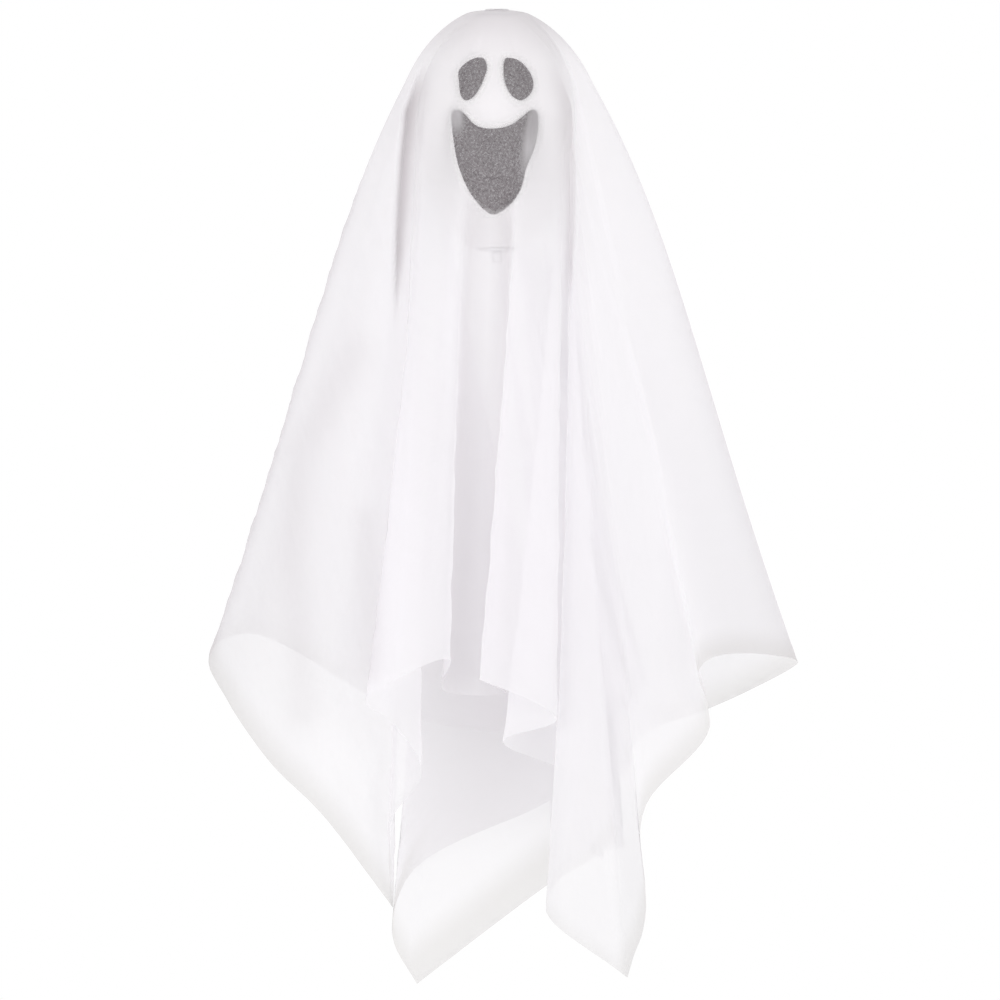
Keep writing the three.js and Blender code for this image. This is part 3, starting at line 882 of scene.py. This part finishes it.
def sheerCloth(grain):
    look = finishes["cloth"]
    material, tree = newMaterial("sheerCloth")
    sheet = tree.nodes.new("ShaderNodeUVMap")
    sheet.uv_map = "flatSheet"
    parts = addNode(tree, "ShaderNodeSeparateXYZ", Vector=sheet.outputs[0])
    fromMiddle = [mathNode(tree, "ABSOLUTE", mathNode(tree, "SUBTRACT", parts.outputs[k], 0.5))
                  for k in (0, 1)]
    furthest = mathNode(tree, "MAXIMUM", *fromMiddle)
    sheetWidth = 2 * cloth["halfWidth"] * mm
    toHem = mathNode(tree, "MULTIPLY", mathNode(tree, "SUBTRACT", 0.5, furthest), sheetWidth)
    core = fade(tree, toHem, 0, look["rimWidth"])
    core = mathNode(tree, "MAXIMUM", core, mathNode(tree, "SUBTRACT", 1.0, painted(tree, "rimmed")))
    speckle, bump = grainOf(tree, grain, look["grainScale"], look["bump"])
    sheer = painted(tree, "overFelt")
    depth = mathNode(tree, "MULTIPLY_ADD", sheer, look["grain"], look["freeGrain"])
    uneven = mathNode(tree, "MULTIPLY", mathNode(tree, "SUBTRACT", speckle, 0.5), depth)
    solid = mathNode(tree, "MULTIPLY_ADD", sheer, look["overFelt"] - look["free"], look["free"])
    alpha = mathNode(tree, "ADD", solid, uneven, clamp=True)
    color = mixColor(tree, core, look["rim"], look["core"])
    # painted shade: darkens the cloth's colour in the grooves by the cheeks, the deep folds, the crown
    # and where inner folds show through
    color = mixColor(tree, painted(tree, "paintedShade"), color, look["paintedShade"])
    shader = addNode(tree, "ShaderNodeBsdfPrincipled", Roughness=0.85, Alpha=alpha, Normal=bump,
                     **{"Base Color": color, "Specular IOR Level": 0.1})
    through = addNode(tree, "ShaderNodeBsdfTranslucent", Color=color)
    share = mathNode(tree, "MULTIPLY_ADD", sheer, -look["through"], look["through"])
    both = addNode(tree, "ShaderNodeMixShader", i0=share, i1=shader.outputs[0], i2=through.outputs[0])
    finishMaterial(tree, both.outputs[0])
    return material


def plainFinish(name, look, grain, depth, first, second, roughness, metallic=0.0, sheen=0.0):
    material, tree = newMaterial(name)
    speckle, bump = grainOf(tree, grain, look["grain"], depth)
    color = mixColor(tree, fade(tree, speckle, 0.35, 0.65), look[first], look[second])
    rough = mathNode(tree, "MULTIPLY_ADD", speckle, 0.2, roughness - 0.1)
    shader = addNode(tree, "ShaderNodeBsdfPrincipled", Roughness=rough, Metallic=metallic, Normal=bump,
                     **{"Base Color": color, "Sheen Weight": sheen, "Sheen Roughness": 0.6})
    finishMaterial(tree, shader.outputs[0])
    return material


def main():
    addCamera()
    addWorld()
    addLamps()
    addFloor()
    print("surroundings ready")
    grain = buildGrain()
    felt = plainFinish("blackFelt", finishes["felt"], grain, 0.0002, "dark", "pale", 0.9)
    foam = plainFinish("foam", finishes["foam"], grain, 0.0001, "shade", "color", 0.75, sheen=1.0)
    steel = plainFinish("drawnSteel", finishes["steel"], grain, 0.00001, "worn", "color", 0.35, 1.0)
    plastic = plainFinish("whitePlastic", finishes["plastic"], grain, 0.00001, "shade", "color", 0.45)
    enamel = plainFinish("whiteEnamel", finishes["enamel"], grain, 0.00001, "shade", "color", 0.3)
    makeHead(foam)
    for name, node in (("rightEye", "right_eye"), ("leftEye", "left_eye"), ("mouth", "mouth")):
        makeFelt(name + "Felt", felts[name], node, felt)
    makeHanger(steel, plastic, enamel)
    print("head, face and hanger made")
    made = makeCloth(sheerCloth(grain))
    print("cloth made:", len(made.data.polygons), "faces")


scene.view_settings.view_transform = "Standard"
scene.cycles.transparent_max_bounces = 40
main()
